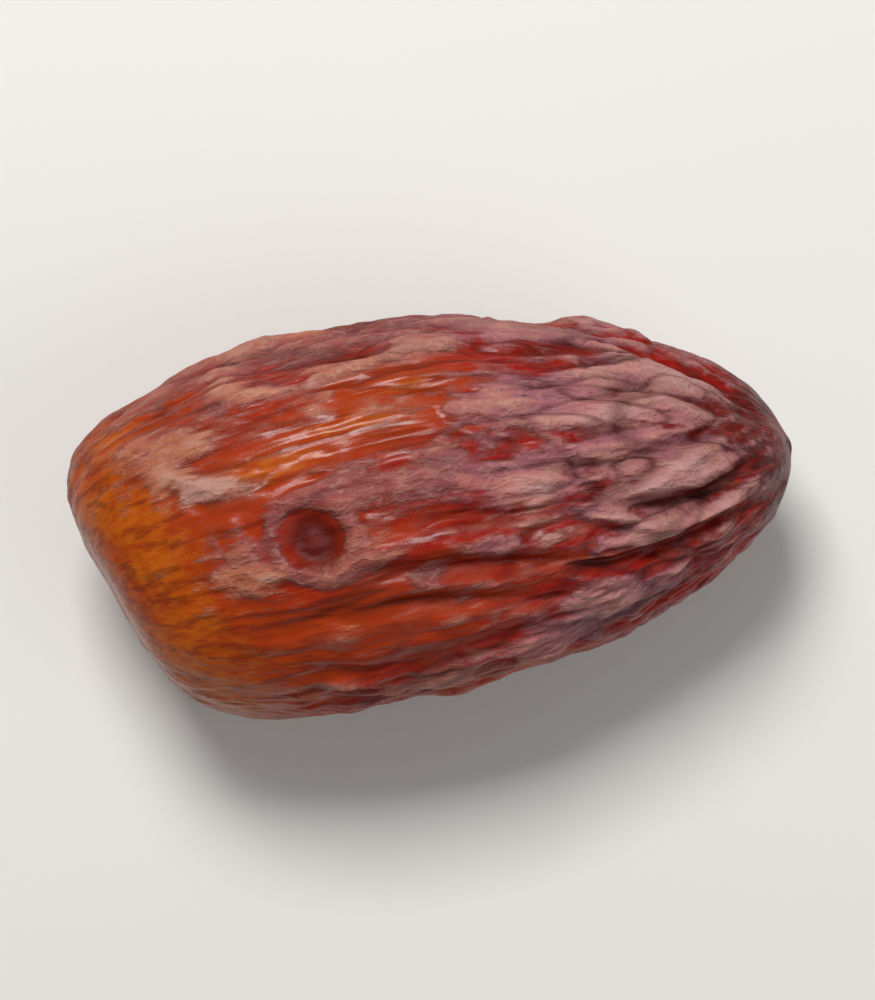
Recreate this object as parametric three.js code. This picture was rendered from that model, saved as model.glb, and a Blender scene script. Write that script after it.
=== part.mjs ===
// A medjool date: one whole dried fruit lying on its side. Millimetres, +Z up.
// The stem end points to -X, the tip to +X, and the origin is on the surface that the fruit
// rests on, under the middle of its box.
//
// A place on the fruit has a station, which is a distance along X, a reach, which is its
// distance from the middle line as a share of the widest, and an angle round that line,
// which is 0 at +Y, 90 at the top and 270 underneath.

import * as THREE from "three";
import { mergeVertices } from "three/addons/utils/BufferGeometryUtils.js";

const { smoothstep, lerp, degToRad, radToDeg } = THREE.MathUtils;
const FULL_TURN = 2 * Math.PI;
const HALF_TURN = Math.PI;

// The finished fruit's box
const LENGTH = 47;
const WIDTH = 25.6;
const HEIGHT = 22.6;

// The plain fruit before its skin is folded: a blunt stem side and a slimmer tip side, each a
// rounded curve from the widest station to the end, round a middle line that bends a little
const STEM_SIDE = { length: 21.6, along: 2.2, across: 5.4 };
const TIP_SIDE = { length: 23.8, along: 1.5, across: 2 };
const HALF_WIDTH = 12.4;
const HALF_HEIGHT = 11;

// How much sooner the height falls than the width, towards each end
const TAPER = { stem: 1.35, tip: 1.05, from: -8, to: 8 };
const BEND = 1.2;
const BEND_REACH = 24;
const STEM_SLANT = degToRad(15.5);
const SLANT_ENDS = 2;

// The mesh: rings from end to end, and places round each ring
const RINGS = 62;
const PLACES_ROUND = 94;
const PROFILE_STEPS = 720;
const WELD = 1e-4;

// Soft underside where the fruit has settled
const REST_FLAT = 0.4;
const REST_CENTRE = { station: -1, angle: 270 };
const REST_HALF = { station: 7.5, angle: 22 };
const REST_FADE = { from: 0.8, to: 1.7 };

// Numbers that scatter a cell's column, row and seed, and the share that makes a wave reach 1
const SCATTER = { column: 12.9898, row: 78.233, seed: 37.719, spread: 43758.5453 };
const WAVE_GAIN = 1.5;

// Slow waves over the skin. around is how many cells go round the fruit, and reach is the
// length of one cell along it.
const SWELL = { around: 5, reach: 17, shift: 7, seed: 11, height: 0.6, fades: 0.5 };
const DRIFT = { around: 8, reach: 12, shift: 2, seed: 23 };

// Lengthwise folds: full ridges with narrow furrows between them, flat past a certain height
const FOLD = {
  around: 13, reach: 17, shift: 0, seed: 37, height: 1.25,
  floor: 0.003, flat: 0.6, middle: 0.28, swellPull: 1.1, driftPull: 0.9,
};
const FOLD_FADE = { from: 0.12, to: 0.62 };

// The skin is tight round the stem end and loose towards the tip
const TIGHT = 0.3;
const LOOSE_FROM = -14;
const LOOSE_TO = 2;
const LOOSE_SHIFT = 6;
const PATCHY = { share: 0.5, from: -0.35, to: 0.25 };

// The upper side is calmer, because its skin has lifted in broad plates
const CALM = { share: 0.75, rise: [30, 55], fall: [125, 150], ends: [2, 12] };

// One lifted plate of skin with a sharp edge towards the stem end
const PLATE = {
  from: -13, to: 6, angleFrom: 74, angleTo: 112, height: 0.35,
  edge: 0.8, tail: 5, angleEdgeFrom: 6, angleEdgeTo: 5,
};

// Creases, and welts where the depth is below zero. Each runs between two stations and passes
// three angles, at its start, its middle and its end.
const CREASES = [
  { from: 4.5, to: 20.5, angles: [72, 86, 72], half: 0.6, depth: 0.6 },
  { from: 9.5, to: 22, angles: [92, 107, 88], half: 0.65, depth: 0.9 },
  { from: 5.5, to: 19.5, angles: [113, 123, 119], half: 0.65, depth: 0.6 },
  { from: -2, to: 7.5, angles: [94, 95, 96], half: 0.7, depth: 0.45 },
  { from: -8.5, to: 9.5, angles: [113, 110, 119], half: 0.7, depth: 0.6 },
  { from: -12.5, to: 7.5, angles: [119, 119, 132], half: 0.6, depth: 0.45 },
  { from: -12, to: 5, angles: [135, 138, 136], half: 0.6, depth: 0.4 },
  { from: -9.5, to: 7, angles: [44, 42, 47], half: 0.5, depth: 0.2 },
  { from: -12, to: 6, angles: [56, 53, 57], half: 0.6, depth: 0.12 },
  { from: -12, to: 7, angles: [71, 67, 62], half: 0.6, depth: 0.12 },
  { from: 10, to: 19.5, angles: [100, 97, 81], half: 0.65, depth: -0.5 },
  { from: 12, to: 20.5, angles: [113, 115, 108], half: 0.55, depth: -0.5 },
  { from: 12, to: 21, angles: [34, 42, 56], half: 0.9, depth: -0.45 },
  { from: -15.8, to: -9.5, angles: [58, 69, 72], half: 0.7, depth: -0.5 },
];
const CREASE_SPREAD = 1.5;
const CREASE_NARROWS = 0.5;
const CREASE_SHARPNESS = 1.6;
const CREASE_TAPER = 0.7;
const CREASE_WANDER = 5;
const SHOULDER = { height: 0.3, away: 2, half: 0.8 };

// A round sunken spot with a raised lip and a raised middle
const PIT = { station: -7.8, angle: 92, radius: 1.75, depth: 0.6, sharpness: 4 };
const PIT_LIP = { height: 0.3, away: 1.4, half: 0.4 };
const PIT_MIDDLE = { height: 0.5, half: 0.4 };

// The dished scar that the stalk leaves, with its rim
const SCAR = { radius: 2.9, depth: 1.1, sharpness: 4 };
const SCAR_RIM = { height: 0.3, away: 1.25, half: 0.35 };

const SKIN = { color: 0x7d3a2a, roughness: 0.45, metalness: 0 };

// A bell: 1 at zero, falling smoothly to nothing a few halves away
function bell(gap, half) {
  return Math.exp(-((gap / half) ** 2));
}

// A number from 0 to 1 that looks random but is always the same for the same three numbers
function chance(column, row, seed) {
  const mixed = column * SCATTER.column + row * SCATTER.row + seed * SCATTER.seed;
  const spun = Math.sin(mixed) * SCATTER.spread;
  return spun - Math.floor(spun);
}

// Smooth gradient noise over the skin, about -1 to 1, which joins up with itself round the
// fruit. alongPull and roundPull shift the place that is read, in cells.
function wave(field, station, angle, alongPull = 0, roundPull = 0) {
  const along = station / field.reach + field.shift + alongPull;
  const round = (angle * field.around) / FULL_TURN + roundPull;
  const column = Math.floor(along);
  const row = Math.floor(round);
  const corner = (right, up) => {
    const wrapped = THREE.MathUtils.euclideanModulo(row + up, field.around);
    const heading = FULL_TURN * chance(column + right, wrapped, field.seed);
    return Math.cos(heading) * (along - column - right) + Math.sin(heading) * (round - row - up);
  };
  const across = THREE.MathUtils.smootherstep(along - column, 0, 1);
  const upward = THREE.MathUtils.smootherstep(round - row, 0, 1);
  const low = lerp(corner(0, 0), corner(1, 0), across);
  const high = lerp(corner(0, 1), corner(1, 1), across);
  return WAVE_GAIN * lerp(low, high, upward);
}

// The plain fruit's half outline, from the stem end to the tip, both on the axis
function profile() {
  const outline = [];
  for (let step = 0; step <= PROFILE_STEPS; step += 1) {
    const turn = (HALF_TURN * step) / PROFILE_STEPS;
    const side = Math.cos(turn) > 0 ? STEM_SIDE : TIP_SIDE;
    const sense = side === STEM_SIDE ? -1 : 1;
    const station = sense * side.length * Math.abs(Math.cos(turn)) ** (2 / side.along);
    const reach = Math.abs(Math.sin(turn)) ** (2 / side.across);
    outline.push(new THREE.Vector2(HALF_WIDTH * reach, station));
  }
  outline[0].x = 0;
  outline[PROFILE_STEPS].x = 0;
  const curve = new THREE.SplineCurve(outline);
  curve.arcLengthDivisions = PROFILE_STEPS;
  const points = curve.getSpacedPoints(RINGS - 1);
  points[0].x = 0;
  points[RINGS - 1].x = 0;
  return points;
}

// The round lathe shape, lying along X, as one closed body with its vertices shared
function roundFruit() {
  const lathe = new THREE.LatheGeometry(profile(), PLACES_ROUND);
  lathe.rotateZ(-HALF_TURN / 2);
  lathe.deleteAttribute("normal");
  lathe.deleteAttribute("uv");
  return mergeVertices(lathe, WELD);
}

// Oval sections round the bent middle line, with the stem end cut at a slant
function plainPlace({ station, reach, angle }) {
  const bend = BEND * (1 - (station / BEND_REACH) ** 2);
  const y = reach * HALF_WIDTH * Math.cos(angle) + bend;
  const taper = lerp(TAPER.stem, TAPER.tip, smoothstep(station, TAPER.from, TAPER.to));
  const z = reach ** taper * HALF_HEIGHT * Math.sin(angle);
  const slant = Math.tan(STEM_SLANT) * (1 - smoothstep(station, -STEM_SIDE.length, SLANT_ENDS));
  return new THREE.Vector3(station - slant * y, y, z);
}

// How flat the underside lies, 1 in the middle of the resting spot and 0 away from it
function restShare(station, degrees) {
  const along = (station - REST_CENTRE.station) / REST_HALF.station;
  const round = (degrees - REST_CENTRE.angle) / REST_HALF.angle;
  return 1 - smoothstep(Math.hypot(along, round), REST_FADE.from, REST_FADE.to);
}

// How loose the skin is, 0 where it is tight and 1 where it folds freely
function looseShare(station, degrees, swell, drift) {
  const towardsTip = smoothstep(station + LOOSE_SHIFT * swell, LOOSE_FROM, LOOSE_TO);
  const patchy = lerp(1 - PATCHY.share, 1, smoothstep(drift, PATCHY.from, PATCHY.to));
  const upper = smoothstep(degrees, ...CALM.rise) * (1 - smoothstep(degrees, ...CALM.fall));
  const calm = upper * (1 - smoothstep(station, ...CALM.ends));
  return lerp(TIGHT, 1, towardsTip) * patchy * (1 - CALM.share * calm);
}

function plateHeight(station, degrees) {
  const start = smoothstep(station, PLATE.from - PLATE.edge, PLATE.from + PLATE.edge);
  const end = 1 - smoothstep(station, PLATE.to - PLATE.tail, PLATE.to);
  const near = PLATE.angleFrom;
  const far = PLATE.angleTo;
  const rise = smoothstep(degrees, near - PLATE.angleEdgeFrom, near + PLATE.angleEdgeFrom);
  const fall = 1 - smoothstep(degrees, far - PLATE.angleEdgeTo, far + PLATE.angleEdgeTo);
  return PLATE.height * start * end * rise * fall;
}

// A crease is a narrow valley between two low shoulders, deepest halfway along its route
function creaseHeight(crease, station, reach, degrees, drift) {
  if (station <= crease.from || station >= crease.to) {
    return 0;
  }
  const share = (station - crease.from) / (crease.to - crease.from);
  const [first, middle, last] = crease.angles;
  const early = first * (1 - share) * (1 - 2 * share);
  const late = last * share * (2 * share - 1);
  const route = early + 4 * middle * share * (1 - share) + late;
  const half = crease.half * CREASE_SPREAD * lerp(CREASE_NARROWS, 1, reach);
  const off = degToRad(degrees - route - CREASE_WANDER * drift) * reach * HALF_WIDTH;
  const gap = Math.abs(off) / half;
  const valley = Math.exp(-(gap ** CREASE_SHARPNESS));
  const shoulder = SHOULDER.height * bell(gap - SHOULDER.away, SHOULDER.half);
  return crease.depth * Math.sin(HALF_TURN * share) ** CREASE_TAPER * (shoulder - valley);
}

function pitHeight(station, reach, degrees) {
  const along = station - PIT.station;
  const round = degToRad(degrees - PIT.angle) * reach * HALF_WIDTH;
  const gap = Math.hypot(along, round) / PIT.radius;
  const lip = PIT_LIP.height * bell(gap - PIT_LIP.away, PIT_LIP.half);
  const middle = PIT_MIDDLE.height * bell(gap, PIT_MIDDLE.half);
  return PIT.depth * (lip + middle - Math.exp(-(gap ** PIT.sharpness)));
}

function scarHeight(station, reach) {
  if (station > 0) {
    return 0;
  }
  const gap = (reach * HALF_WIDTH) / SCAR.radius;
  const rim = SCAR_RIM.height * bell(gap - SCAR_RIM.away, SCAR_RIM.half);
  return rim - SCAR.depth * Math.exp(-(gap ** SCAR.sharpness));
}

// How far the skin stands out from the plain fruit
function skinHeight({ station, reach, angle }) {
  const degrees = radToDeg(angle);
  const swell = wave(SWELL, station, angle);
  const drift = wave(DRIFT, station, angle);
  const loose = looseShare(station, degrees, swell, drift);
  const settled = 1 - restShare(station, degrees);
  const tame = smoothstep(reach, FOLD_FADE.from, FOLD_FADE.to) * settled;
  const crossed = wave(FOLD, station, angle, FOLD.swellPull * swell, FOLD.driftPull * drift);
  const ridge = Math.min(Math.sqrt(crossed ** 2 + FOLD.floor), FOLD.flat);
  let height = SWELL.height * swell * smoothstep(reach, 0, SWELL.fades);
  height += FOLD.height * tame * loose * (ridge - FOLD.middle);
  height += plateHeight(station, degrees);
  for (const crease of CREASES) {
    height += creaseHeight(crease, station, reach, degrees, drift);
  }
  return height + pitHeight(station, reach, degrees) + scarHeight(station, reach);
}

// Station, reach and angle of every vertex of the round lathe shape
function placesOf(geometry) {
  const position = geometry.getAttribute("position");
  const places = [];
  for (let index = 0; index < position.count; index += 1) {
    const y = position.getY(index);
    const z = position.getZ(index);
    const angle = (Math.atan2(z, y) + FULL_TURN) % FULL_TURN;
    places.push({ station: position.getX(index), reach: Math.hypot(y, z) / HALF_WIDTH, angle });
  }
  return places;
}

// Flattens the lowest part of the fruit and brings its box to the finished size
function settleAndFit(geometry) {
  const position = geometry.getAttribute("position");
  geometry.computeBoundingBox();
  const lowest = geometry.boundingBox.min.z + REST_FLAT;
  for (let index = 0; index < position.count; index += 1) {
    position.setZ(index, Math.max(position.getZ(index), lowest));
  }
  geometry.computeBoundingBox();
  const box = geometry.boundingBox;
  const size = box.getSize(new THREE.Vector3());
  const middle = box.getCenter(new THREE.Vector3());
  geometry.translate(-middle.x, -middle.y, -box.min.z);
  geometry.scale(LENGTH / size.x, WIDTH / size.y, HEIGHT / size.z);
}

function makeDate() {
  const geometry = roundFruit();
  const places = placesOf(geometry);
  const position = geometry.getAttribute("position");
  places.forEach((place, index) => position.setXYZ(index, ...plainPlace(place)));
  geometry.computeVertexNormals();
  const normal = geometry.getAttribute("normal");
  places.forEach((place, index) => {
    const outward = new THREE.Vector3().fromBufferAttribute(normal, index);
    const skin = plainPlace(place).addScaledVector(outward, skinHeight(place));
    position.setXYZ(index, ...skin);
  });
  settleAndFit(geometry);
  geometry.computeVertexNormals();
  const date = new THREE.Mesh(geometry, new THREE.MeshStandardMaterial(SKIN));
  date.name = "date";
  return date;
}

const fruit = new THREE.Group();
fruit.name = "medjool_date";
fruit.add(makeDate());

export default fruit;
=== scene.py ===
# %% [markdown]
# # A medjool date
#
# The real object is one whole dried fruit about 47 mm long. Its skin is thinner than paper. As
# the fruit dries, the flesh shrinks under it, so the skin is left too large. Near the stem end it
# stays tight and glossy, and towards the tip it lies in lengthwise folds.
#
# One surface makes the whole fruit here. A plain shape comes first, and then each kind of fold is
# added to it, largest first. Every kind is a formula over the whole skin, worked out at once as
# arrays.

# %% The frame that the fruit has to fit
import math

import bpy
import numpy as np
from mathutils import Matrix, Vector


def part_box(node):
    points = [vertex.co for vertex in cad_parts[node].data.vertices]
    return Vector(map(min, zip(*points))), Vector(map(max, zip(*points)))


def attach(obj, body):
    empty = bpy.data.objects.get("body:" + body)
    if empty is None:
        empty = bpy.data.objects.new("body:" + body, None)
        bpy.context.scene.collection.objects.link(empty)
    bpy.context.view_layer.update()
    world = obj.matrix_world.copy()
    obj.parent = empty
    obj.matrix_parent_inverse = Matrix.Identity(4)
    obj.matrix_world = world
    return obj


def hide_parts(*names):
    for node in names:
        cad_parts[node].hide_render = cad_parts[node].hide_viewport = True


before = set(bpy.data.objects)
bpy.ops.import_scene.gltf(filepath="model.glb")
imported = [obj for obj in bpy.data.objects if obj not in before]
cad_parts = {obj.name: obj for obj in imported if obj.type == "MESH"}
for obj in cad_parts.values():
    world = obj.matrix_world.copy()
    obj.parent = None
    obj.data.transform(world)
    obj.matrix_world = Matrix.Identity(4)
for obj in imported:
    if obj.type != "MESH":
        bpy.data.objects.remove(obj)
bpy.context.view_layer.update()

BOX_LOW, BOX_HIGH = (np.array(corner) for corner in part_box("date"))
MM = 0.001
print("the fruit fills a box of", np.round((BOX_HIGH - BOX_LOW) / MM, 2), "mm")

# %% [markdown]
# ## Places on the skin
#
# A place on the fruit has a station, which is its distance along the fruit in millimetres, a
# reach, which is its distance from the middle line as a share of the widest, and an angle round
# that line: 0 at +Y, 90 degrees on top and 270 underneath. The stem end is at -X.
#
# The plain shape is two rounded curves that meet at the widest station. The stem side is blunt and
# the tip side is slimmer. A sphere that is scaled would be simpler, but its ends would be alike.

# %% Three small curves, and the outline
FULL_TURN = 2 * np.pi
STEM_SIDE = {"length": 21.6, "along": 2.2, "across": 5.4}
TIP_SIDE = {"length": 23.8, "along": 1.5, "across": 2.0}
HALF_WIDTH = 12.4
HALF_HEIGHT = 11.0
PROFILE_STEPS = 4001


def smooth(value, low, high):
    """Smooth step: with t the share of the way from low to high, held in 0 to 1, 3t2 - 2t3."""
    share = np.clip((value - low) / (high - low), 0, 1)
    return share * share * (3 - 2 * share)


def bell(gap, half):
    """e to the power of minus the square of gap over half: 1 at zero, and gone a few halves away."""
    return np.exp(-((gap / half) ** 2))


def blend(low, high, share):
    """low where share is 0, high where it is 1, and in a straight line between."""
    return low + (high - low) * share


def profile(rings):
    """Station and reach of each ring, evenly spaced along the outline.

    With t going from 0 to half a turn, the station is a side's length times cos t to the power of
    2 over that side's along, and the reach is sin t to the power of 2 over its across. The outline
    is then walked at equal steps of its own length.
    """
    turn = np.linspace(0, np.pi, PROFILE_STEPS)
    cosine, sine = np.abs(np.cos(turn)), np.abs(np.sin(turn))
    stem = -STEM_SIDE["length"] * cosine ** (2 / STEM_SIDE["along"])
    tip = TIP_SIDE["length"] * cosine ** (2 / TIP_SIDE["along"])
    on_stem_side = np.cos(turn) > 0
    station = np.where(on_stem_side, stem, tip)
    across = np.where(on_stem_side, STEM_SIDE["across"], TIP_SIDE["across"])
    reach = sine ** (2 / across)
    reach[[0, -1]] = 0
    steps = np.hypot(np.diff(station), np.diff(reach * HALF_WIDTH))
    walked = np.concatenate([[0], np.cumsum(steps)])
    even = np.linspace(0, walked[-1], rings)
    return np.interp(even, walked, station), np.interp(even, walked, reach)


# %% [markdown]
# ## The plain fruit
#
# Seen from above, the fruit is bent a little, like a short bean, and its stem end is cut off at a
# slant. Both are done by moving whole rings of the plain shape, so the grid stays regular. The
# grid's places are closer together on top, which is the side that is seen.

# %% Rings round a bent middle line
TAPER = {"stem": 1.35, "tip": 1.05, "from": -8, "to": 8}
BEND = 1.2
BEND_REACH = 24.0
STEM_SLANT = math.radians(15.5)
SLANT_ENDS = 2.0
RINGS = 222
PLACES_ROUND = 440
CROWDING = 0.3


def plain_fruit(station, reach, angle):
    """Oval sections round a bent middle line, with the stem end cut at a slant.

    Across: reach times half the width times the cosine of the angle, and the bend, which falls
    with the square of the station. Up: reach to the power of the taper, times half the height
    times the sine. Along: the station, less the slant's tangent times the place across, a share
    that fades out past the widest station.
    """
    across = reach * HALF_WIDTH * np.cos(angle) + BEND * (1 - (station / BEND_REACH) ** 2)
    taper = blend(TAPER["stem"], TAPER["tip"], smooth(station, TAPER["from"], TAPER["to"]))
    up = reach ** taper * HALF_HEIGHT * np.sin(angle)
    slant = math.tan(STEM_SLANT) * (1 - smooth(station, -STEM_SIDE["length"], SLANT_ENDS))
    return np.stack([station - slant * across, across, up], axis=-1)


ring_station, ring_reach = profile(RINGS)
share_round = np.arange(PLACES_ROUND) / PLACES_ROUND
place_angle = FULL_TURN * share_round + CROWDING * np.cos(FULL_TURN * share_round)
station, angle = np.meshgrid(ring_station, place_angle, indexing="ij")
reach = np.repeat(ring_reach[:, None], PLACES_ROUND, axis=1)
degrees = np.degrees(angle) % 360
print("grid of", station.shape, "places, widest at station", round(ring_station[ring_reach.argmax()], 2))

# %% [markdown]
# ## Waves that wander
#
# Nothing on a fruit repeats exactly, so the folds come from gradient noise: each corner of a grid
# of cells gets a slope in a random direction, and the surface runs smoothly between them. Cells
# are long and narrow, so the waves run lengthwise, and a whole number of them goes round, so the
# skin joins up with itself. The random directions come from a formula, so they are the same in
# every run.

# %% Gradient noise over the skin
SCATTER = {"column": 12.9898, "row": 78.233, "seed": 37.719, "spread": 43758.5453}
WAVE_GAIN = 1.5


def chance(column, row, seed):
    """The part after the decimal point of a large multiple of the sine of a mix of the three."""
    mixed = column * SCATTER["column"] + row * SCATTER["row"] + seed * SCATTER["seed"]
    spun = np.sin(mixed) * SCATTER["spread"]
    return spun - np.floor(spun)


def smoother(share):
    """6t5 - 15t4 + 10t3, a step with no kink where cells meet."""
    return share ** 3 * (share * (6 * share - 15) + 10)


def wave(field, along_pull=0, round_pull=0):
    """Gradient noise, about -1 to 1. The pulls shift the place that is read, in cells.

    Each corner's value is its slope's direction dotted with the way from it to the place, and the
    four corners are mixed by the smoother steps of the place within its cell.
    """
    along = station / field["reach"] + field["shift"] + along_pull
    round_ = angle * field["around"] / FULL_TURN + round_pull
    column, row = np.floor(along), np.floor(round_)

    def corner(right, up):
        wrapped = np.mod(row + up, field["around"])
        heading = FULL_TURN * chance(column + right, wrapped, field["seed"])
        return np.cos(heading) * (along - column - right) + np.sin(heading) * (round_ - row - up)

    across, upward = smoother(along - column), smoother(round_ - row)
    low = blend(corner(0, 0), corner(1, 0), across)
    high = blend(corner(0, 1), corner(1, 1), across)
    return WAVE_GAIN * blend(low, high, upward)


SWELL = {"around": 5, "reach": 17, "shift": 7, "seed": 11, "height": 0.6, "fades": 0.5}
DRIFT = {"around": 8, "reach": 12, "shift": 2, "seed": 23}
swell, drift = wave(SWELL), wave(DRIFT)
print("swell from", round(swell.min(), 2), "to", round(swell.max(), 2))

# %% [markdown]
# ## Where the skin is loose, flat or lifted
#
# How deep a fold can be depends on the skin there. It is tight round the stem end and loose
# towards the tip, with calmer patches, the largest of them on top. Underneath, the soft fruit has
# settled under its own weight and is smoothed flat. Beside the middle of the top a broad plate of
# skin has lifted off the flesh. Each of these is a share from 0 to 1 that later formulas use.

# %% Shares of loose, settled and lifted skin
TIGHT = 0.3
LOOSE_FROM, LOOSE_TO, LOOSE_SHIFT = -14, 2, 6
PATCHY = {"share": 0.5, "from": -0.35, "to": 0.25}
CALM = {"share": 0.75, "rise": (30, 55), "fall": (125, 150), "ends": (2, 12)}
REST_CENTRE = (-1, 270)
REST_HALF = (7.5, 22)
REST_FADE = (0.8, 1.7)
PLATE = {"from": -13, "to": 6, "angles": (74, 112), "height": 0.35, "edge": 0.8, "tail": 5}
PLATE_ANGLE_EDGES = (6, 5)


def rest_share():
    """1 in an oval round the lowest place, where the fruit has settled, falling to 0 around it."""
    along = (station - REST_CENTRE[0]) / REST_HALF[0]
    round_ = (degrees - REST_CENTRE[1]) / REST_HALF[1]
    return 1 - smooth(np.hypot(along, round_), *REST_FADE)


def loose_share():
    """Loose skin: a step towards the tip, times patches, less a calmer part on top."""
    towards_tip = smooth(station + LOOSE_SHIFT * swell, LOOSE_FROM, LOOSE_TO)
    patchy = blend(1 - PATCHY["share"], 1, smooth(drift, PATCHY["from"], PATCHY["to"]))
    upper = smooth(degrees, *CALM["rise"]) * (1 - smooth(degrees, *CALM["fall"]))
    calm = upper * (1 - smooth(station, *CALM["ends"]))
    return blend(TIGHT, 1, towards_tip) * patchy * (1 - CALM["share"] * calm)


def plate_share():
    """A step along the fruit and back, times a step round it and back."""
    start = smooth(station, PLATE["from"] - PLATE["edge"], PLATE["from"] + PLATE["edge"])
    end = 1 - smooth(station, PLATE["to"] - PLATE["tail"], PLATE["to"])
    near, far = PLATE["angles"]
    rise = smooth(degrees, near - PLATE_ANGLE_EDGES[0], near + PLATE_ANGLE_EDGES[0])
    fall = 1 - smooth(degrees, far - PLATE_ANGLE_EDGES[1], far + PLATE_ANGLE_EDGES[1])
    return start * end * rise * fall


settled = 1 - rest_share()
loose = loose_share()
plate = plate_share()
print("loose skin covers", round(100 * loose.mean()), "per cent of the grid")

# %% [markdown]
# ## Single creases and welts
#
# A few deep creases run into the tip, with narrow welts between them, and one welt crosses near
# the stem end. They make this fruit the one that it is, so each has its own place. A crease could
# be carved by a Boolean cut, but a valley in the height keeps the skin whole.

# %% Creases, each a valley along a route, and welts, the same turned up
CREASES = [
    {"from": 4.5, "to": 20.5, "angles": (72, 86, 72), "half": 0.6, "depth": 0.6},
    {"from": 9.5, "to": 22, "angles": (92, 107, 88), "half": 0.65, "depth": 0.9},
    {"from": 5.5, "to": 19.5, "angles": (113, 123, 119), "half": 0.65, "depth": 0.6},
    {"from": -2, "to": 7.5, "angles": (94, 95, 96), "half": 0.7, "depth": 0.45},
    {"from": -8.5, "to": 9.5, "angles": (113, 110, 119), "half": 0.7, "depth": 0.6},
    {"from": -12.5, "to": 7.5, "angles": (119, 119, 132), "half": 0.6, "depth": 0.45},
    {"from": -12, "to": 5, "angles": (135, 138, 136), "half": 0.6, "depth": 0.4},
    {"from": -9.5, "to": 7, "angles": (44, 42, 47), "half": 0.5, "depth": 0.2},
    {"from": -12, "to": 6, "angles": (56, 53, 57), "half": 0.6, "depth": 0.12},
    {"from": -12, "to": 7, "angles": (71, 67, 62), "half": 0.6, "depth": 0.12},
    {"from": 10, "to": 19.5, "angles": (100, 97, 81), "half": 0.65, "depth": -0.5},
    {"from": 12, "to": 20.5, "angles": (113, 115, 108), "half": 0.55, "depth": -0.5},
    {"from": 12, "to": 21, "angles": (34, 42, 56), "half": 0.9, "depth": -0.45},
    {"from": -15.8, "to": -9.5, "angles": (58, 69, 72), "half": 0.7, "depth": -0.5},
]
CREASE_NARROWS = 0.35
CREASE_SHARPNESS = 1.6
CREASE_TAPER = 0.7
CREASE_WANDER = 5
SHOULDER = {"height": 0.3, "away": 2, "half": 0.8}
# Crease depths over which the valley's painted shade grows from none to full.
SHADE_BY_DEPTH = (0.2, 1.0)


def crease_shape(crease):
    """Height and valley of one crease at every place.

    The route's angle is the curve of second degree through its three angles. The gap is the way
    across from the route, over the crease's half width. The valley is e to the power of minus the
    gap's power, and a bell on either side of it is its shoulder, all faded by a sine along the
    route.
    """
    share = np.clip((station - crease["from"]) / (crease["to"] - crease["from"]), 0, 1)
    first, middle, last = crease["angles"]
    early = first * (1 - share) * (1 - 2 * share)
    late = last * share * (2 * share - 1)
    route = early + 4 * middle * share * (1 - share) + late
    half = crease["half"] * blend(CREASE_NARROWS, 1, reach)
    off = np.radians(degrees - route - CREASE_WANDER * drift) * reach * HALF_WIDTH
    gap = np.abs(off) / half
    fade = np.sin(np.pi * share) ** CREASE_TAPER * ((share > 0) & (share < 1))
    valley = np.exp(-(gap ** CREASE_SHARPNESS)) * fade
    shoulder = SHOULDER["height"] * bell(gap - SHOULDER["away"], SHOULDER["half"]) * fade
    return crease["depth"] * (shoulder - valley), valley


def all_creases():
    """The creases' heights added up, their deepest valley weighted by depth as the painted shade in it, and
    the deepest valley of the welts.
    """
    raised = np.zeros_like(station)
    furrow_shade_and_tip_dot = np.zeros_like(station)
    welt = np.zeros_like(station)
    for crease in CREASES:
        added, valley = crease_shape(crease)
        raised = raised + added
        furrow_shade_and_tip_dot = np.maximum(furrow_shade_and_tip_dot, valley * smooth(crease["depth"], *SHADE_BY_DEPTH))
        welt = np.maximum(welt, valley * (crease["depth"] < 0))
    return raised, furrow_shade_and_tip_dot, welt


creased, crease_shade, welt = all_creases()
print(len(CREASES), "creases and welts, from", round(creased.min(), 2), "to", round(creased.max(), 2), "mm")

# %% [markdown]
# ## The sunken spot and the scar
#
# One round spot beside the plate's middle has dried down onto the flesh, with a low lip round it.
# At the stem end the stalk has left a dished scar, ribbed towards its middle, where a stub of the
# fibres stands. Both are the same bowl: a flat floor with steep sides, from one formula.

# %% Bowls with a lip
PIT = {"station": -7.8, "angle": 92, "radius": 1.75, "depth": 0.6, "sharpness": 4}
PIT_LIP = {"height": 0.3, "away": 1.4, "half": 0.4}
PIT_MIDDLE = {"height": 0.3, "half": 0.4}
PIT_EDGE = {"around": 36, "reach": 2.0, "shift": 3, "seed": 19, "share": 0.22}
SCAR = {"radius": 2.9, "depth": 1.1, "sharpness": 4}
SCAR_RIM = {"height": 0.3, "away": 1.25, "half": 0.35}
SCAR_RIBS = {"height": 0.12, "count": 14, "away": 0.75, "half": 0.25}
SCAR_STUB = {"height": 0.45, "half": 0.38}


def pit_shape():
    """A bowl with a flat floor, e to the power of minus the gap's power, a lip and a middle.

    The gap is the distance from its centre over its radius, which a small wave makes uneven.
    """
    along = station - PIT["station"]
    round_ = np.radians(degrees - PIT["angle"]) * reach * HALF_WIDTH
    gap = np.hypot(along, round_) / PIT["radius"] * (1 + PIT_EDGE["share"] * wave(PIT_EDGE))
    lip = PIT_LIP["height"] * bell(gap - PIT_LIP["away"], PIT_LIP["half"])
    middle = PIT_MIDDLE["height"] * bell(gap, PIT_MIDDLE["half"])
    bowl = np.exp(-(gap ** PIT["sharpness"]))
    return PIT["depth"] * (lip + middle - bowl), bowl


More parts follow.
